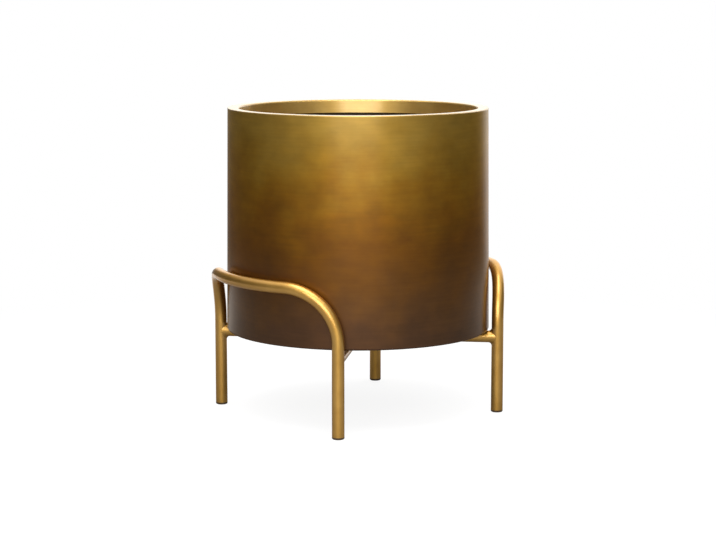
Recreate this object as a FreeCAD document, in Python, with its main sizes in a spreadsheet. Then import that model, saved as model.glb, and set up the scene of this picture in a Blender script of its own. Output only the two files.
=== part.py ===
import FreeCAD, Part
import math
import os
import Sketcher
from FreeCAD import Placement, Rotation, Vector

# Elevated planter: a round sheet-metal pot that rests in a low stand of bent and welded tube.
# Frame: millimetres, +Z up, origin on the floor at the middle of the stand.
# Each hoop is one tube, bent to a flat U and rolled to the pot's curve. One stands at -X, one at +X.
# The four legs are a quarter turn apart, and a cross of straight tube between them carries the pot.

document = FreeCAD.newDocument("elevated_planter")
sizes = document.addObject("Spreadsheet::Sheet", "sizes")

SIZES = {
    # pot, of rolled and pressed sheet
    "pot_radius": 176.5,
    "wall_lean": 3,
    "pot_height": 297,
    "sheet_thickness": 1.5,
    "corner_radius": 3,
    "base_skirt": 1,
    "rim_width": 14.5,
    "rim_lip_depth": 18,
    "rim_lip_lean": 2,
    "rim_fold_radius": 1,
    "rim_edge_radius": 1,
    # raised centre of the pot's base, with the drain hole in it
    "panel_radius": 80,
    "panel_rise": 6,
    "panel_slope_run": 7,
    "panel_bend_radius": 4,
    "drain_hole_radius": 7,
    # rubber plug of the drain hole
    "plug_clearance": 0.3,
    "plug_reach": 3,
    "plug_lead": 1.2,
    "plug_flange_radius": 13,
    "plug_flange_thickness": 2.5,
    "plug_neck_radius": 3.5,
    "plug_neck_height": 3,
    "plug_knob_radius": 5.5,
    "plug_knob_height": 4,
    "plug_edge_radius": 1,
    # hoops of round tube
    "tube_radius": 8,
    "tube_wall": 1.5,
    "pot_gap": 4.2,
    "hoop_height": 190.6,
    "bend_radius": 70.5,
    # cross of straight tube, welded to the legs
    "cross_height": 102.5,
    "cross_tube_radius": 8,
    "cross_tube_wall": 1.5,
    "weld_radius": 4,
    "weld_root_gap": 0.2,
    # rubber pads between the cross and the pot
    "pad_thickness": 1,
    "pad_drape": 2,
    "pad_width": 10,
    "pad_length": 26,
    "pad_inset": 56.5,
    "pad_glue_gap": 0.1,
    # plastic glides pushed into the legs
    "glide_height": 3,
    "glide_edge_radius": 2,
    "glide_stem_radius": 5,
    "glide_stem_length": 15,
    "glide_lead": 1.5,
    "glide_fin_length": 3,
    "glide_fin_clearance": 0.2,
}

for row, (alias, length) in enumerate(SIZES.items(), start=1):
    sizes.set(f"A{row}", alias)
    sizes.set(f"B{row}", str(length))
    sizes.setAlias(f"B{row}", alias)
document.recompute()

FULL_TURN = 360
LEG_COUNT = 4
QUARTER_TURN = FULL_TURN / LEG_COUNT
# A leg stands this far round from the middle of its hoop.
LEG_TURN = QUARTER_TURN / 2
BEND_SPANS = 2
GLIDE_FINS = 3

# Sizes that several pieces share, worked out from the sheet
HOOP_RADIUS = "(sizes.pot_radius + sizes.pot_gap + sizes.tube_radius)"
POT_FLOOR = "(sizes.cross_height + sizes.cross_tube_radius + sizes.pad_thickness)"
INNER_RADIUS = "(sizes.pot_radius - sizes.sheet_thickness)"
RIM_RADIUS = "(sizes.pot_radius - sizes.wall_lean)"
BASE_SEAM = "(sizes.corner_radius + sizes.base_skirt)"
PAD_PLACE = "(sizes.pot_radius - sizes.pad_inset)"
RIM_SEAM = "(sizes.pot_height - sizes.sheet_thickness)"

# Sketcher's own index numbers for its axes and for the points of a line or circle
H_AXIS_INDEX = -1
V_AXIS_INDEX = -2
START_INDEX = 1
END_INDEX = 2
CENTRE_INDEX = 3
ORIGIN = (H_AXIS_INDEX, START_INDEX)


def number(expression):
    return float(sizes.evalExpression(expression))


# Helpers for sketches and bodies

def new_body(label):
    body = document.addObject("PartDesign::Body", label)
    body.Label = label
    return body


def new_sketch(body, plane, name):
    sketch = body.newObject("Sketcher::SketchObject", name)
    support = next(item for item in body.Origin.OriginFeatures if item.Role == plane)
    sketch.AttachmentSupport = [(support, "")]
    sketch.MapMode = "FlatFace"
    return sketch


def bind_distance(sketch, kind, first, second, expression):
    index = sketch.addConstraint(Sketcher.Constraint(kind, *first, *second, number(expression)))
    sketch.setExpression(f"Constraints[{index}]", expression)


def bind_radius(sketch, curve, expression):
    index = sketch.addConstraint(Sketcher.Constraint("Radius", curve, number(expression)))
    sketch.setExpression(f"Constraints[{index}]", expression)


def add_outline(sketch, corners):
    """A closed outline through corners given as expressions. "0" puts a corner on the axis."""
    points = [Vector(number(across), number(up), 0) for across, up in corners]
    ends = points[1:] + points[:1]
    lines = [sketch.addGeometry(Part.LineSegment(*pair), False) for pair in zip(points, ends)]
    for line, following in zip(lines, lines[1:] + lines[:1]):
        sketch.addConstraint(Sketcher.Constraint("Coincident", line, END_INDEX, following, START_INDEX))
    for line, (across, up) in zip(lines, corners):
        for kind, axis, place in (("DistanceX", V_AXIS_INDEX, across), ("DistanceY", H_AXIS_INDEX, up)):
            if place == "0":
                sketch.addConstraint(Sketcher.Constraint("PointOnObject", line, START_INDEX, axis))
            else:
                bind_distance(sketch, kind, ORIGIN, (line, START_INDEX), place)


def add_circle(sketch, radius, along=None, side=1):
    """A circle at the origin, or at a distance along the sketch's X axis to either side."""
    distance = number(along) if along else 0
    middle = Vector(side * distance, 0, 0)
    circle = sketch.addGeometry(Part.Circle(middle, Vector(0, 0, 1), number(radius)), False)
    bind_radius(sketch, circle, radius)
    if along is None:
        sketch.addConstraint(Sketcher.Constraint("Coincident", circle, CENTRE_INDEX, *ORIGIN))
        return
    sketch.addConstraint(Sketcher.Constraint("PointOnObject", circle, CENTRE_INDEX, H_AXIS_INDEX))
    ends = [ORIGIN, (circle, CENTRE_INDEX)]
    bind_distance(sketch, "DistanceX", *ends[::side], along)


def turned_body(label, corners, height):
    """A body of revolution about Z, from a half section, with its foot at a height."""
    body = new_body(label)
    sketch = new_sketch(body, "XZ_Plane", label + "_section")
    add_outline(sketch, corners)
    turn = body.newObject("PartDesign::Revolution", label + "_turn")
    turn.Profile = sketch
    turn.ReferenceAxis = (sketch, ["V_Axis"])
    turn.Angle = FULL_TURN
    body.setExpression("Placement.Base.z", height)
    document.recompute()
    return body


def round_rings(body, name, rings, radius):
    """Round the circular edges that lie at the given radii and heights in the body's frame."""
    base = body.Tip
    near = 1e-4 * number("sizes.pot_radius")
    places = [(number(ring_radius), number(height)) for ring_radius, height in rings]
    names = []
    for index, edge in enumerate(base.Shape.Edges, start=1):
        if not isinstance(edge.Curve, Part.Circle):
            continue
        found = (edge.Curve.Radius, edge.Curve.Center.z)
        if any(math.dist(found, place) < near for place in places):
            names.append(f"Edge{index}")
    fillet = body.newObject("PartDesign::Fillet", name)
    fillet.Base = (base, names)
    fillet.setExpression("Radius", radius)
    document.recompute()


def cut_through(body, sketch, name):
    """Cut a sketch right through the body, both ways from its plane."""
    pocket = body.newObject("PartDesign::Pocket", name)
    pocket.Profile = sketch
    pocket.SideType = "Symmetric"
    pocket.Type = "ThroughAll"
    document.recompute()


def turn_about_z(piece, angle):
    piece.Placement = Placement(piece.Placement.Base, Rotation(Vector(0, 0, 1), angle))


def stand_off_centre(piece, distance, angle):
    """Put a piece at a distance from the middle of the stand, in the direction of an angle."""
    piece.setExpression("Placement.Base.x", f"{distance} * cos({angle})")
    piece.setExpression("Placement.Base.y", f"{distance} * sin({angle})")


# Pot

def make_pot_wall():
    """Rolled sheet with a seam ground flush. It leans in a little on its way up to the rim."""
    wall_top = f"({RIM_SEAM} - {BASE_SEAM})"
    corners = [
        ("sizes.pot_radius", "0"),
        (RIM_RADIUS, wall_top),
        (f"{RIM_RADIUS} - sizes.sheet_thickness", wall_top),
        (INNER_RADIUS, "0"),
    ]
    return turned_body("pot_wall", corners, f"{POT_FLOOR} + {BASE_SEAM}")


def make_pot_base():
    """Pressed dish: a round corner, and a raised centre that stiffens it and clears the cross."""
    panel_top = "(sizes.panel_rise + sizes.sheet_thickness)"
    slope_end = "(sizes.panel_radius - sizes.panel_slope_run)"
    corners = [
        ("sizes.drain_hole_radius", "sizes.panel_rise"),
        (slope_end, "sizes.panel_rise"),
        ("sizes.panel_radius", "0"),
        ("sizes.pot_radius", "0"),
        ("sizes.pot_radius", BASE_SEAM),
        (INNER_RADIUS, BASE_SEAM),
        (INNER_RADIUS, "sizes.sheet_thickness"),
        ("sizes.panel_radius", "sizes.sheet_thickness"),
        (slope_end, panel_top),
        ("sizes.drain_hole_radius", panel_top),
    ]
    body = turned_body("pot_base", corners, POT_FLOOR)
    round_rings(body, "outer_corner", [("sizes.pot_radius", "0")], "sizes.corner_radius")
    inner_corner = "sizes.corner_radius - sizes.sheet_thickness"
    round_rings(body, "inner_corner", [(INNER_RADIUS, "sizes.sheet_thickness")], inner_corner)
    bends = [
        (slope_end, "sizes.panel_rise"),
        ("sizes.panel_radius", "0"),
        ("sizes.panel_radius", "sizes.sheet_thickness"),
        (slope_end, panel_top),
    ]
    round_rings(body, "panel_bends", bends, "sizes.panel_bend_radius")
    return body


def make_rim_ring():
    """Folded strip welded onto the wall's top: a flat flange and a lip that leans into the mouth."""
    mouth_radius = f"({RIM_RADIUS} - sizes.rim_width)"
    fold_back = f"({mouth_radius} + sizes.sheet_thickness)"
    lip_tip = f"({mouth_radius} - sizes.rim_lip_lean)"
    lip_back = f"({lip_tip} + sizes.sheet_thickness)"
    lip_end = "sizes.pot_height - sizes.rim_lip_depth"
    corners = [
        (mouth_radius, "sizes.pot_height"),
        (lip_tip, lip_end),
        (lip_back, lip_end),
        (fold_back, RIM_SEAM),
        (RIM_RADIUS, RIM_SEAM),
        (RIM_RADIUS, "sizes.pot_height"),
    ]
    body = turned_body("rim_ring", corners, POT_FLOOR)
    outside_fold = "sizes.rim_fold_radius + sizes.sheet_thickness"
    round_rings(body, "fold_outside", [(mouth_radius, "sizes.pot_height")], outside_fold)
    round_rings(body, "fold_inside", [(fold_back, RIM_SEAM)], "sizes.rim_fold_radius")
    round_rings(body, "rim_edge", [(RIM_RADIUS, "sizes.pot_height")], "sizes.rim_edge_radius")
    return body


def make_drain_plug():
    """Rubber stopper: a stem in the drain hole, a flange on the panel and a knob to pull."""
    stem_radius = "(sizes.drain_hole_radius - sizes.plug_clearance)"
    flange_foot = "(sizes.plug_reach + sizes.sheet_thickness)"
    flange_top = f"({flange_foot} + sizes.plug_flange_thickness)"
    knob_foot = f"({flange_top} + sizes.plug_neck_height)"
    knob_top = f"({knob_foot} + sizes.plug_knob_height)"
    corners = [
        ("0", "0"),
        (f"{stem_radius} - sizes.plug_lead", "0"),
        (stem_radius, "sizes.plug_lead"),
        (stem_radius, flange_foot),
        ("sizes.plug_flange_radius", flange_foot),
        ("sizes.plug_flange_radius", flange_top),
        ("sizes.plug_neck_radius", flange_top),
        ("sizes.plug_neck_radius", knob_foot),
        ("sizes.plug_knob_radius", knob_foot),
        ("sizes.plug_knob_radius", knob_top),
        ("0", knob_top),
    ]
    height = f"{POT_FLOOR} + sizes.panel_rise - sizes.plug_reach"
    body = turned_body("drain_plug", corners, height)
    edges = [
        ("sizes.plug_flange_radius", flange_top),
        ("sizes.plug_neck_radius", flange_top),
        ("sizes.plug_knob_radius", knob_foot),
        ("sizes.plug_knob_radius", knob_top),
    ]
    round_rings(body, "plug_edges", edges, "sizes.plug_edge_radius")
    return body


# Hoops

def wrapped_point(run, height):
    """A point of the tube's middle line: a run along the pot's curve, and a height."""
    radius = number(HOOP_RADIUS)
    return Vector(radius * math.cos(run / radius), radius * math.sin(run / radius), height)


def bend_station(angle):
    """Point and direction in the rolled bend, from the level top (0) to the upright leg."""
    bend = number("sizes.bend_radius")
    leg_run = number(HOOP_RADIUS) * math.radians(LEG_TURN)
    run = leg_run - bend + bend * math.sin(angle)
    height = number("sizes.hoop_height") - bend + bend * math.cos(angle)
    around = run / number(HOOP_RADIUS)
    level = Vector(-math.sin(around), math.cos(around), 0)
    direction = level * math.cos(angle) - Vector(0, 0, math.sin(angle))
    return wrapped_point(run, height), direction


def arc_edge(start, corner, end):
    """The arc from start to end that touches both lines through their common corner."""
    chord_middle = (start + end) / 2
    cosine = (chord_middle - start).Length / (corner - start).Length
    share = cosine / (1 + cosine)
    top = corner * share + chord_middle * (1 - share)
    return Part.Arc(start, top, end).toShape()


def arc_pair(first, second):
    """Two tangent arcs that join two stations, each a point and its direction."""
    start, leaving = first
    end, arriving = second
    span = end - start
    spread = 2 * (1 - leaving.dot(arriving))
    slope = span.dot(leaving + arriving)
    reach = (math.sqrt(slope ** 2 + spread * span.dot(span)) - slope) / spread
    first_corner = start + leaving * reach
    second_corner = end - arriving * reach
    joint = (first_corner + second_corner) / 2
    return [arc_edge(start, first_corner, joint), arc_edge(joint, second_corner, end)]


def make_hoop_line():
    """Middle line of a hoop: leg, rolled bend, level top on the pot's curve, bend and leg."""
    angles = [math.radians(QUARTER_TURN) * step / BEND_SPANS for step in range(BEND_SPANS + 1)]
    stations = [bend_station(angle) for angle in angles]
    bend = []
    for pair in zip(stations, stations[1:]):
        bend += arc_pair(*pair)
    leg_top = stations[-1][0]
    leg_foot = Vector(leg_top.x, leg_top.y, number("sizes.glide_height"))
    half = Part.Wire(bend + [Part.LineSegment(leg_top, leg_foot).toShape()])
    other_half = half.mirror(Vector(0, 0, 0), Vector(0, 1, 0))
    top_end = stations[0][0]
    top_start = Vector(top_end.x, -top_end.y, top_end.z)
    top_middle = wrapped_point(0, top_end.z)
    top = Part.Arc(top_start, top_middle, top_end).toShape()
    line = document.addObject("Part::Feature", "hoop_line")
    line.Shape = Part.Wire(Part.__sortEdges__(half.Edges + [top] + other_half.Edges))
    return line


def sweep_along(line, name, radius):
    """A round bar of the given radius along the hoop's line, from the foot at -Y."""
    section = document.addObject("Part::Circle", name + "_section")
    section.setExpression("Radius", radius)
    stand_off_centre(section, HOOP_RADIUS, -LEG_TURN)
    section.setExpression("Placement.Base.z", "sizes.glide_height")
    sweep = document.addObject("Part::Sweep", name)
    sweep.Sections = [section]
    sweep.Spine = (line, [f"Edge{index + 1}" for index in range(len(line.Shape.Edges))])
    sweep.Solid = True
    return sweep


def make_hoops():
    """Both hoops are the same bent tube, and one is turned half round."""
    line = make_hoop_line()
    outside = sweep_along(line, "hoop_outside", "sizes.tube_radius")
    bore = sweep_along(line, "hoop_bore", "sizes.tube_radius - sizes.tube_wall")
    hoops = []
    for label, angle in (("hoop_right", 0), ("hoop_left", FULL_TURN / 2)):
        hoop = document.addObject("Part::Cut", label)
        hoop.Label = label
        hoop.Base = outside
        hoop.Tool = bore
        turn_about_z(hoop, angle)
        hoops.append(hoop)
    return hoops


# Cross

def weld_edges(shape):
    """The saddle edges where the cross tube runs into a leg: neither straight nor circular."""
    plain = (Part.Circle, Part.Line)
    edges = enumerate(shape.Edges, start=1)
    return [f"Edge{index}" for index, edge in edges if not isinstance(edge.Curve, plain)]


def pad_stubs(body, sketch, name):
    """Short lengths of the tubes that the cross tube is welded to, cut away after the weld."""
    stubs = body.newObject("PartDesign::Pad", name)
    stubs.Profile = sketch
    stubs.SideType = "Symmetric"
    stubs.setExpression("Length", "2 * (sizes.cross_tube_radius + 2 * sizes.weld_radius)")
    document.recompute()
    return stubs


def make_cross_tube(label, angle, sides):
    """A cross tube on its own X axis, coped to the legs, with a weld bead that flares onto them.
    The long tube reaches both legs. A half tube is welded to a leg and to the long tube."""
    body = new_body(label)
    section = new_sketch(body, "YZ_Plane", label + "_section")
    add_circle(section, "sizes.cross_tube_radius")
    tube = body.newObject("PartDesign::Pad", label + "_tube")
    tube.Profile = section
    tube.setExpression("Length", f"{len(sides)} * {HOOP_RADIUS}")
    if len(sides) > 1:
        tube.SideType = "Symmetric"

    legs = new_sketch(body, "XY_Plane", label + "_legs")
    for side in sides:
        add_circle(legs, "sizes.tube_radius + sizes.weld_root_gap / 2", HOOP_RADIUS, side)
    stubs = pad_stubs(body, legs, label + "_leg_stubs")
    if len(sides) == 1:
        middle = new_sketch(body, "XZ_Plane", label + "_middle")
        add_circle(middle, "sizes.cross_tube_radius + sizes.weld_root_gap / 2")
        stubs = pad_stubs(body, middle, label + "_middle_stub")

    bead = body.newObject("PartDesign::Fillet", label + "_weld")
    bead.Base = (stubs, weld_edges(stubs.Shape))
    bead.setExpression("Radius", "sizes.weld_radius")
    document.recompute()

    cope = new_sketch(body, "XY_Plane", label + "_cope_outline")
    for side in sides:
        add_circle(cope, "sizes.tube_radius + sizes.weld_root_gap", HOOP_RADIUS, side)
    cut_through(body, cope, label + "_cope")
    if len(sides) == 1:
        middle = new_sketch(body, "XZ_Plane", label + "_middle_outline")
        add_circle(middle, "sizes.cross_tube_radius + sizes.weld_root_gap")
        cut_through(body, middle, label + "_middle_cope")

    bore = new_sketch(body, "YZ_Plane", label + "_bore_outline")
    add_circle(bore, "sizes.cross_tube_radius - sizes.cross_tube_wall")
    cut_through(body, bore, label + "_bore")
    turn_about_z(body, angle)
    body.setExpression("Placement.Base.z", "sizes.cross_height")
    return body


def make_cross():
    both_ends, outer_end = (1, -1), (1,)
    return [
        make_cross_tube("cross_tube_long", LEG_TURN, both_ends),
        make_cross_tube("cross_tube_half_right", -LEG_TURN, outer_end),
        make_cross_tube("cross_tube_half_left", FULL_TURN / 2 - LEG_TURN, outer_end),
    ]


# Small parts, one at each leg

def add_slot(sketch, length, width):
    """A slot about the origin, along the sketch's X axis, with round ends."""
    reach = number(f"({length} - {width}) / 2")
    radius = number(f"{width} / 2")
    up = Vector(0, 0, 1)
    quarter = math.pi / 2
    ends = []
    for side in (1, -1):
        circle = Part.Circle(Vector(side * reach, 0, 0), up, radius)
        turn = 0 if side == 1 else math.pi
        arc = Part.ArcOfCircle(circle, turn - quarter, turn + quarter)
        ends.append(sketch.addGeometry(arc, False))
    right, left = ends
    top = Part.LineSegment(Vector(reach, radius, 0), Vector(-reach, radius, 0))
    bottom = Part.LineSegment(Vector(-reach, -radius, 0), Vector(reach, -radius, 0))
    top = sketch.addGeometry(top, False)
    bottom = sketch.addGeometry(bottom, False)
    joints = ((right, END_INDEX, top, START_INDEX), (top, END_INDEX, left, START_INDEX))
    joints += ((left, END_INDEX, bottom, START_INDEX), (bottom, END_INDEX, right, START_INDEX))
    for joint in joints:
        sketch.addConstraint(Sketcher.Constraint("Tangent", *joint))
    sketch.addConstraint(Sketcher.Constraint("Symmetric", right, CENTRE_INDEX, left, CENTRE_INDEX, *ORIGIN))
    sketch.addConstraint(Sketcher.Constraint("Horizontal", top))
    bind_radius(sketch, right, f"{width} / 2")
    bind_distance(sketch, "DistanceX", (left, CENTRE_INDEX), (right, CENTRE_INDEX), f"{length} - {width}")


def make_pad(label, angle):
    """Rubber strip glued over the cross tube: flat on top, where the pot rests."""
    body = new_body(label)
    outline = new_sketch(body, "XY_Plane", label + "_outline")
    add_slot(outline, "sizes.pad_length", "sizes.pad_width")
    top = "sizes.cross_tube_radius + sizes.pad_thickness"
    outline.setExpression("AttachmentOffset.Base.z", top)
    strip = body.newObject("PartDesign::Pad", label + "_strip")
    strip.Profile = outline
    strip.Reversed = True
    strip.setExpression("Length", "sizes.pad_thickness + sizes.pad_drape")
    saddle = new_sketch(body, "YZ_Plane", label + "_saddle_outline")
    add_circle(saddle, "sizes.cross_tube_radius + sizes.pad_glue_gap")
    cut_through(body, saddle, label + "_saddle")
    turn_about_z(body, angle)
    stand_off_centre(body, PAD_PLACE, angle)
    body.setExpression("Placement.Base.z", "sizes.cross_height")
    return body


def make_glide(label, angle):
    """Plastic glide: a foot as wide as the leg, on a stem with fins that grip the bore."""
    fin_radius = "(sizes.tube_radius - sizes.tube_wall - sizes.glide_fin_clearance)"
    corners = [
        ("0", "0"),
        ("sizes.tube_radius", "0"),
        ("sizes.tube_radius", "sizes.glide_height"),
        ("sizes.glide_stem_radius", "sizes.glide_height"),
    ]
    for fin in range(1, GLIDE_FINS + 1):
        fin_foot = f"sizes.glide_height + {fin} * sizes.glide_fin_length"
        corners.append(("sizes.glide_stem_radius", fin_foot))
        corners.append((fin_radius, fin_foot))
    stem_top = "(sizes.glide_height + sizes.glide_stem_length)"
    corners += [
        ("sizes.glide_stem_radius", f"{stem_top} - sizes.glide_lead"),
        ("sizes.glide_stem_radius - sizes.glide_lead", stem_top),
        ("0", stem_top),
    ]
    body = turned_body(label, corners, "0")
    round_rings(body, label + "_edge", [("sizes.tube_radius", "0")], "sizes.glide_edge_radius")
    stand_off_centre(body, HOOP_RADIUS, angle)
    return body


def make_small_parts():
    pieces = []
    for leg in range(LEG_COUNT):
        angle = LEG_TURN + leg * QUARTER_TURN
        pieces.append(make_pad(f"rest_pad_{leg + 1}", angle))
        pieces.append(make_glide(f"foot_glide_{leg + 1}", angle))
    return pieces


# Build, check and write

pieces = [make_pot_wall(), make_pot_base(), make_rim_ring(), make_drain_plug()]
pieces += make_hoops()
pieces += make_cross()
pieces += make_small_parts()
document.recompute()

for item in document.Objects:
    if {"Invalid", "Error"} & set(item.State):
        raise RuntimeError(f"{item.Label} failed: {item.State}")
for piece in pieces:
    shape = piece.Shape
    if shape.isNull() or not shape.isValid() or len(shape.Solids) != 1:
        raise RuntimeError(f"{piece.Label} is not one valid solid")

os.makedirs("parts", exist_ok=True)
for piece in pieces:
    piece.Shape.exportStep(f"parts/{piece.Label}.step")
    box = piece.Shape.BoundBox
    print(f"{piece.Label}: {piece.Shape.Volume:.0f} mm3, top at {box.ZMax:.1f} mm")
print(f"{len(pieces)} pieces written")
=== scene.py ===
import bpy
import math
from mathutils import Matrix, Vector

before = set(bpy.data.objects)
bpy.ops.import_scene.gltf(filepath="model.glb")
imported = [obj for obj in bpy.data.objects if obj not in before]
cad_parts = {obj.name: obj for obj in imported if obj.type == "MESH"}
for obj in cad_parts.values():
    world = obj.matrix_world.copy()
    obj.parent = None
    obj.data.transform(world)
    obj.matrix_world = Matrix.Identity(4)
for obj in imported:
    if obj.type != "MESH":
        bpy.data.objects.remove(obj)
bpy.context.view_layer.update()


# Hoops of the stand
# Two lengths of 16 mm round steel tube, each bent to a U and rolled to the pot's curve.
# The stand is painted in one go after welding, so tubes and welds share one gold lacquer.

def linear(colour):
    """An sRGB hex colour as linear red, green and blue, with a solid alpha."""
    channels = [int(colour[first:first + 2], 16) / 255 for first in (0, 2, 4)]
    return [channel / 12.92 if channel < 0.04 else ((channel + 0.055) / 1.055) ** 2.4
            for channel in channels] + [1]


def set_up(tree, node, settings, links):
    """Set a node's properties and inputs, and link its inputs, by name or by socket number."""
    for name, value in settings.items():
        if isinstance(name, int) or name in node.inputs:
            node.inputs[name].default_value = value
        else:
            setattr(node, name, value)
    for name, output in links.items():
        tree.links.new(output, node.inputs[name])


def add_node(tree, kind, settings=None, links=None, stops=()):
    """Add a node, set it up, and give a colour ramp its stops. A new ramp has two already."""
    node = tree.nodes.new("ShaderNode" + kind)
    set_up(tree, node, settings or {}, links or {})
    for index, (position, colour) in enumerate(stops):
        elements = node.color_ramp.elements
        element = elements[index] if index < 2 else elements.new(1)
        element.position = position
        element.color = linear(colour)
    return node


def start_material(name):
    """A new material, with its node tree, its shader and the piece's own coordinates."""
    material = bpy.data.materials.new(name)
    material.use_nodes = True
    tree = material.node_tree
    place = add_node(tree, "TexCoord").outputs["Object"]
    return material, tree, tree.nodes["Principled BSDF"], place


def give_finish(material, pieces):
    """Give solids of the frame their finish."""
    for piece in pieces:
        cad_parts[piece].material_slots[0].material = material


# Gold lacquer, sprayed over primed steel. Metal flakes give it a satin sheen with soft
# highlights: real ones are too fine to show, so they are drawn 0.6 mm across. The sprayed coat
# dries with a slight orange peel, about 1.5 mm from hill to hill, and its gold varies a little
# along the tube. Under the clear coat, the metal keeps its gold tint where it is seen edge on.
cloud_size = 0.030
flake_size = 0.0006
peel_size = 0.0015
peel_depth = 0.0001
lacquer, tree, shader, place = start_material("gold_lacquer_satin")
clouds = add_node(tree, "TexNoise", {"Scale": 1 / cloud_size, "Detail": 3}, {"Vector": place})
gold = add_node(tree, "ValToRGB", links={"Fac": clouds.outputs["Fac"]},
                stops=[(0.3, "c8953c"), (0.7, "daa950")])
flakes = add_node(tree, "TexNoise", {"Scale": 1 / flake_size, "Detail": 1}, {"Vector": place})
rough = add_node(tree, "MapRange", {"To Min": 0.38, "To Max": 0.46},
                 {"Value": flakes.outputs["Fac"]})
peel = add_node(tree, "TexNoise", {"Scale": 1 / peel_size, "Detail": 1}, {"Vector": place})
bump = add_node(tree, "Bump", {"Strength": 0.12, "Distance": peel_depth},
                {"Height": peel.outputs["Fac"]})
set_up(tree, shader,
       {"Metallic": 1, "Specular Tint": linear("ffd898"),
        "Coat Weight": 1, "Coat Roughness": 0.2},
       {"Base Color": gold.outputs["Color"], "Roughness": rough.outputs["Result"],
        "Normal": bump.outputs["Normal"]})

give_finish(lacquer, ("hoop_left", "hoop_right"))


# Cross under the pot
# Three straight lengths of the same 16 mm tube, coped to the legs and to each other, and welded
# all round. The beads are left full, so each end flares a little.

give_finish(lacquer, ("cross_tube_long", "cross_tube_half_right", "cross_tube_half_left"))


# Foot glides
# Moulded plastic plugs, so that the steel doesn't mark a floor. Each has a rounded foot as wide
# as the leg, and a stem with fins that is pushed into the end of the tube.

# Moulded polyethylene, dyed dark brown. It is a little waxy, with the grain of a spark-eroded
# mould, which is drawn 0.4 mm across so that it shows.
grain_size = 0.0004
grain_depth = 0.00005
polyethylene, tree, shader, place = start_material("moulded_polyethylene_brown")
grain = add_node(tree, "TexNoise", {"Scale": 1 / grain_size, "Detail": 2}, {"Vector": place})
brown = add_node(tree, "ValToRGB", links={"Fac": grain.outputs["Fac"]},
                 stops=[(0.35, "4a3820"), (0.7, "5c4628")])
bump = add_node(tree, "Bump", {"Strength": 0.2, "Distance": grain_depth},
                {"Height": grain.outputs["Fac"]})
set_up(tree, shader, {"Roughness": 0.5},
       {"Base Color": brown.outputs["Color"], "Normal": bump.outputs["Normal"]})

give_finish(polyethylene, [f"foot_glide_{leg}" for leg in range(1, 5)])


# Rest pads
# Strips of rubber with round ends, glued over the cross tubes. The pot stands on them, so that
# its lacquer doesn't touch the steel.

# Black EPDM rubber, cut from moulded sheet: matt, with a dusty bloom in patches of 6 mm and the
# print of a cloth with a thread every 0.8 mm.
bloom_size = 0.006
thread_spacing = 0.0008
print_depth = 0.00008
rubber, tree, shader, place = start_material("moulded_rubber_black")
bloom = add_node(tree, "TexNoise", {"Scale": 1 / bloom_size, "Detail": 4}, {"Vector": place})
black = add_node(tree, "ValToRGB", links={"Fac": bloom.outputs["Fac"]},
                 stops=[(0.35, "1b1b1c"), (0.75, "2b2b2b")])
print_of_cloth = add_node(tree, "TexVoronoi", {"Scale": 1 / thread_spacing}, {"Vector": place})
bump = add_node(tree, "Bump", {"Strength": 0.3, "Distance": print_depth},
                {"Height": print_of_cloth.outputs["Distance"]})
set_up(tree, shader, {"Roughness": 0.75},
       {"Base Color": black.outputs["Color"], "Normal": bump.outputs["Normal"]})

give_finish(rubber, [f"rest_pad_{leg}" for leg in range(1, 5)])


# Pot
# A rolled wall on a pressed base, both of 1.5 mm steel sheet, welded and ground flush. The outside
# is brushed and lacquered, the inside has a brown coating against rust.

def rubbed_marks(tree, place, length, height, detail):
    """Marks of rubbing round the pot by hand, so long and so high in metres."""
    stretched = add_node(tree, "Mapping", {"Scale": (1 / length, 1 / length, 1 / height)},
                         {"Vector": place})
    marks = add_node(tree, "TexNoise", {"Scale": 1, "Detail": detail},
                     {"Vector": stretched.outputs["Vector"]})
    return marks.outputs["Fac"]


# Brass lacquer, rubbed round the pot by hand and toned with a spray gun: gold at the rim, dark
# bronze at the base, with a soft border that wanders up and down, cloudy patches and level
# streaks. Real brush lines are too fine to show, so they are drawn 0.7 mm high.
pot_foot = min(corner[2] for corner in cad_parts["pot_base"].bound_box)
pot_top = max(corner[2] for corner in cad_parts["rim_ring"].bound_box)
border_size = 0.055
border_reach = 0.130
brush_line_length = 0.060
brush_line_height = 0.0007
brush_line_depth = 0.00005
brass, tree, shader, place = start_material("brushed_brass_lacquer_toned")
height_of_point = add_node(tree, "SeparateXYZ", links={"Vector": place}).outputs["Z"]
border = add_node(tree, "TexNoise", {"Scale": 1 / border_size, "Detail": 4}, {"Vector": place})
shift = add_node(tree, "Math",
                 {"operation": "MULTIPLY_ADD", 1: border_reach, 2: -border_reach / 2},
                 {0: border.outputs["Fac"]})
toned_height = add_node(tree, "Math", {"operation": "ADD"},
                        {0: height_of_point, 1: shift.outputs["Value"]})
height_share = add_node(tree, "MapRange", {"From Min": pot_foot, "From Max": pot_top},
                        {"Value": toned_height.outputs["Value"]})
tone = add_node(tree, "ValToRGB", links={"Fac": height_share.outputs["Result"]},
                stops=[(0.03, "5b3b1f"), (0.17, "68431a"), (0.30, "72470c"), (0.42, "7b4c00"),
                       (0.55, "8a5a00"), (0.68, "996c0e"), (0.81, "a47c22"), (0.96, "ae8a34")])
patches = rubbed_marks(tree, place, length=0.032, height=0.020, detail=4)
streaks = rubbed_marks(tree, place, length=0.050, height=0.003, detail=2)
brush_lines = rubbed_marks(tree, place, brush_line_length, brush_line_height, detail=2)
cloudy = add_node(tree, "MapRange", {"To Min": 0.72, "To Max": 1.28}, {"Value": patches})
streaky = add_node(tree, "MapRange", {"To Min": 0.88, "To Max": 1.12}, {"Value": streaks})
brushed = add_node(tree, "MapRange", {"To Min": 0.95, "To Max": 1.05}, {"Value": brush_lines})
rubbed = add_node(tree, "Math", {"operation": "MULTIPLY"},
                  {0: cloudy.outputs["Result"], 1: streaky.outputs["Result"]})
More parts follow.
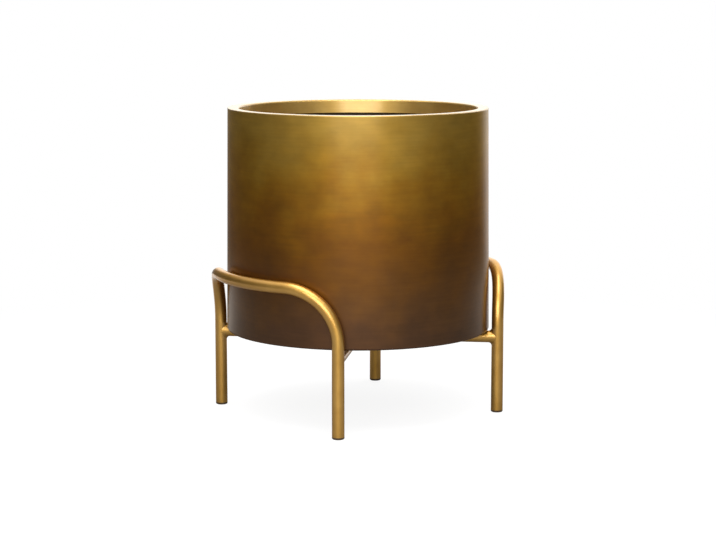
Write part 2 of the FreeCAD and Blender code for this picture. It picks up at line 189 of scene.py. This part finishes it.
variation = add_node(tree, "Math", {"operation": "MULTIPLY"},
                     {0: rubbed.outputs["Value"], 1: brushed.outputs["Result"]})
colour = add_node(tree, "VectorMath", {"operation": "SCALE"},
                  {"Vector": tone.outputs["Color"], "Scale": variation.outputs["Value"]})
rough = add_node(tree, "MapRange", {"To Min": 0.50, "To Max": 0.60}, {"Value": brush_lines})

# The surfaces that face the middle of the pot have a matt brown coating, which hides the metal.
# A Mix node's sockets share their names, so they go by number: 0 is the share of the second
# part, the parts are 2 and 3 for numbers or 6 and 7 for colours, and output 2 is a colour.
coating_brown = linear("6a5c48")
coating_roughness = 0.7
pot_middle = (0, 0, (pot_foot + pot_top) / 2)
outward = add_node(tree, "VectorMath", {"operation": "SUBTRACT", 1: pot_middle}, {0: place})
normal = add_node(tree, "NewGeometry").outputs["Normal"]
faces_out = add_node(tree, "VectorMath", {"operation": "DOT_PRODUCT"},
                     {0: normal, 1: outward.outputs["Vector"]})
inside = add_node(tree, "Math", {"operation": "LESS_THAN", 1: 0}, {0: faces_out.outputs["Value"]})
coated_colour = add_node(tree, "Mix", {"data_type": "RGBA", 7: coating_brown},
                         {0: inside.outputs["Value"], 6: colour.outputs["Vector"]})
coated_rough = add_node(tree, "Mix", {3: coating_roughness},
                        {0: inside.outputs["Value"], 2: rough.outputs["Result"]})
metallic = add_node(tree, "Math", {"operation": "SUBTRACT", 0: 1}, {1: inside.outputs["Value"]})
bump = add_node(tree, "Bump", {"Strength": 0.1, "Distance": brush_line_depth},
                {"Height": brush_lines})
set_up(tree, shader,
       {"Specular Tint": linear("ffdca0"), "Coat Weight": 0.6, "Coat Roughness": 0.25},
       {"Base Color": coated_colour.outputs[2], "Roughness": coated_rough.outputs[0],
        "Metallic": metallic.outputs["Value"], "Normal": bump.outputs["Normal"]})

give_finish(brass, ("pot_wall", "pot_base"))


# Rim
# A folded strip of the same sheet, welded onto the wall: a flat flange and a lip inside the
# mouth. It is buffed after welding, and isn't toned.

# Brass lacquer without the dark toning, buffed smoother than the wall, with patches of 25 mm,
# the wall's faint brush lines and a clear top coat. Its gold is paler than the wall's: partly the
# untoned brass, partly a painted highlight for the bright flange and lip.
buffed_patch_size = 0.025
brush_line_share = 0.4
brass_with_painted_highlight, tree, shader, place = start_material("buffed_brass_with_painted_highlight")
brush_lines = rubbed_marks(tree, place, brush_line_length, brush_line_height, detail=2)
patches = add_node(tree, "TexNoise", {"Scale": 1 / buffed_patch_size, "Detail": 3},
                   {"Vector": place})
mixed = add_node(tree, "Math", {"operation": "MULTIPLY_ADD", 1: brush_line_share},
                 {0: brush_lines, 2: patches.outputs["Fac"]})
# The paler gold stops are partly a painted highlight on the flange and lip.
gold = add_node(tree, "ValToRGB", links={"Fac": mixed.outputs["Value"]},
                stops=[(0.5, "c29a4a"), (0.9, "d2ac5a")])
rough = add_node(tree, "MapRange", {"To Min": 0.44, "To Max": 0.52}, {"Value": brush_lines})
bump = add_node(tree, "Bump", {"Strength": 0.1, "Distance": brush_line_depth},
                {"Height": brush_lines})
set_up(tree, shader, {"Metallic": 1, "Coat Weight": 1, "Coat Roughness": 0.2},
       {"Base Color": gold.outputs["Color"], "Roughness": rough.outputs["Result"],
        "Normal": bump.outputs["Normal"]})

give_finish(brass_with_painted_highlight, ("rim_ring",))


# Drain plug
# A stopper of the same moulded rubber as the pads, set loosely into the drain hole of the base.
# It has a flange that covers the edge of the hole, and a knob to pull it out by.

give_finish(rubber, ("drain_plug",))


# Studio
# A pale floor and an even white surround, with a wide soft light in front and one above. The
# camera looks slightly down at the planter, from a little to the right of its front leg.

toward_camera = (-0.607, -0.795, 0)
camera_distance = 2.651
camera_height = 0.582
camera_pitch = math.radians(8.43)
camera_lens = 100.06
floor_radius = 1.3

bpy.ops.object.select_all(action="DESELECT")
bpy.ops.mesh.primitive_circle_add(vertices=96, radius=floor_radius, fill_type="NGON",
                                  location=(0, 0, 0))
floor = bpy.context.object
floor.name = "studio_floor"

# White paper. To the camera it is plain white, which it reaches near the object with the light
# that falls on it, so that it takes a faint shadow there, and further off with its glow alone.
near_glow_level = 0.86
matt_level = 0.2
near_paper_end = 0.4
far_paper_start = 1.0
paper, tree, shader, place = start_material("studio_paper_white")
tree.nodes.remove(shader)
rays = add_node(tree, "LightPath")
# Seen only in reflections, the paper's glow is painted light: bright behind the object, grey in
# front of it, and a painted shadow of the object as a dark belt close to its sides, where the
# lights reach least.
forward = add_node(tree, "VectorMath", {"operation": "DOT_PRODUCT", 1: toward_camera},
                   {0: place})
forward_share = add_node(tree, "MapRange", {"From Min": -1, "From Max": 1},
                         {"Value": forward.outputs["Value"]})
near_paper_painted_shade = add_node(tree, "ValToRGB", links={"Fac": forward_share.outputs["Result"]},
                     stops=[(0.1, "ffffff"), (0.22, "d8d8d8"), (0.3, "808080"),
                            (0.4, "3c3c3c"), (0.52, "3c3c3c"), (0.65, "8c8c8c")])
far_paper_painted_light = add_node(tree, "ValToRGB", links={"Fac": forward_share.outputs["Result"]},
                    stops=[(0.1, "ffffff"), (0.3, "d8d8d8"), (0.5, "bcbcbc"), (0.65, "b4b4b4")])
near_painted_reflection = add_node(tree, "Math", {"operation": "MULTIPLY"},
                          {0: rays.outputs["Is Glossy Ray"], 1: near_paper_painted_shade.outputs["Color"]})
far_painted_reflection = add_node(tree, "Math", {"operation": "MULTIPLY"},
                         {0: rays.outputs["Is Glossy Ray"], 1: far_paper_painted_light.outputs["Color"]})
near_level = add_node(tree, "Math", {"operation": "MULTIPLY_ADD", 1: near_glow_level},
                      {0: rays.outputs["Is Camera Ray"], 2: near_painted_reflection.outputs["Value"]})
far_level = add_node(tree, "Math", {"operation": "ADD"},
                     {0: rays.outputs["Is Camera Ray"], 1: far_painted_reflection.outputs["Value"]})
near_glow = add_node(tree, "Emission", links={"Strength": near_level.outputs["Value"]})
far_glow = add_node(tree, "Emission", links={"Strength": far_level.outputs["Value"]})
matt = add_node(tree, "BsdfDiffuse", {"Color": (matt_level, matt_level, matt_level, 1)})
near_paper = add_node(tree, "AddShader",
                      links={0: near_glow.outputs["Emission"], 1: matt.outputs["BSDF"]})
from_middle = add_node(tree, "VectorMath", {"operation": "LENGTH"}, {"Vector": place})
far_share = add_node(tree, "MapRange",
                     {"interpolation_type": "SMOOTHSTEP",
                      "From Min": near_paper_end, "From Max": far_paper_start},
                     {"Value": from_middle.outputs["Value"]})
whole_paper = add_node(tree, "MixShader",
                       links={0: far_share.outputs["Result"], 1: near_paper.outputs["Shader"],
                              2: far_glow.outputs["Emission"]})
tree.links.new(whole_paper.outputs["Shader"], tree.nodes["Material Output"].inputs["Surface"])
floor.data.materials.append(paper)

# The room is white to the camera. The metal reflects it in greys from behind the object to the
# front, with a pale ceiling and a brighter white wall behind the object, a little to its right.
wall_direction = (0.727, 0.541, 0.42)
wall_level = 1.45
world = bpy.data.worlds.new("studio")
world.use_nodes = True
bpy.context.scene.world = world
tree = world.node_tree
direction = add_node(tree, "TexCoord").outputs["Generated"]
facing = add_node(tree, "VectorMath", {"operation": "DOT_PRODUCT", 1: toward_camera},
                  {0: direction})
front_share = add_node(tree, "MapRange", {"From Min": -1, "From Max": 1},
                       {"Value": facing.outputs["Value"]})
surround = add_node(tree, "ValToRGB", links={"Fac": front_share.outputs["Result"]},
                    stops=[(0.01, "a0a0a0"), (0.06, "606060"), (0.25, "505050"),
                           (0.5, "646464"), (0.75, "8c8c8c"), (0.92, "b0b0b0"),
                           (1.0, "b8b8b8")])
toward_wall = add_node(tree, "VectorMath", {"operation": "DOT_PRODUCT", 1: wall_direction},
                       {0: direction})
wall_share = add_node(tree, "MapRange",
                      {"interpolation_type": "SMOOTHSTEP", "From Min": 0.76, "From Max": 0.9},
                      {"Value": toward_wall.outputs["Value"]})
upward = add_node(tree, "SeparateXYZ", links={"Vector": direction}).outputs["Z"]
ceiling_share = add_node(tree, "MapRange",
                         {"interpolation_type": "SMOOTHSTEP", "From Min": 0.4, "From Max": 0.78},
                         {"Value": upward})
with_ceiling = add_node(tree, "Mix", {"data_type": "RGBA", 7: (1, 1, 1, 1)},
                        {0: ceiling_share.outputs["Result"], 6: surround.outputs["Color"]})
with_wall = add_node(tree, "Mix",
                     {"data_type": "RGBA", 7: (wall_level, wall_level, wall_level, 1)},
                     {0: wall_share.outputs["Result"], 6: with_ceiling.outputs[2]})
rays = add_node(tree, "LightPath")
white_seen = add_node(tree, "Mix", {"data_type": "RGBA", 7: (1, 1, 1, 1)},
                      {0: rays.outputs["Is Camera Ray"], 6: with_wall.outputs[2]})
tree.links.new(white_seen.outputs[2], tree.nodes["Background"].inputs["Color"])


def add_soft_light(name, place, aim, width, height, power):
    """A soft box: a rectangle of light at a place, turned to face its aim."""
    bpy.ops.object.light_add(type="AREA", location=place)
    light = bpy.context.object
    light.name = name
    light.data.shape = "RECTANGLE"
    light.data.size = width
    light.data.size_y = height
    light.data.energy = power
    toward = Vector(aim) - Vector(place)
    light.rotation_euler = toward.to_track_quat("-Z", "Y").to_euler()
    light.visible_camera = False


add_soft_light("front_light", place=(-1.24, -1.50, 0.95), aim=(0, 0, 0.25),
               width=1.55, height=1.3, power=24)
add_soft_light("top_light", place=(-0.3, -0.4, 2.2), aim=(0, 0, 0),
               width=1.6, height=1.6, power=32)

bpy.ops.object.camera_add()
camera = bpy.context.object
camera.location = (toward_camera[0] * camera_distance, toward_camera[1] * camera_distance,
                   camera_height)
look = Vector((-toward_camera[0] * math.cos(camera_pitch),
               -toward_camera[1] * math.cos(camera_pitch), -math.sin(camera_pitch)))
camera.rotation_euler = look.to_track_quat("-Z", "Y").to_euler()
camera.data.sensor_width = 36
camera.data.lens = camera_lens
bpy.context.scene.camera = camera
bpy.context.scene.view_settings.view_transform = "Standard"
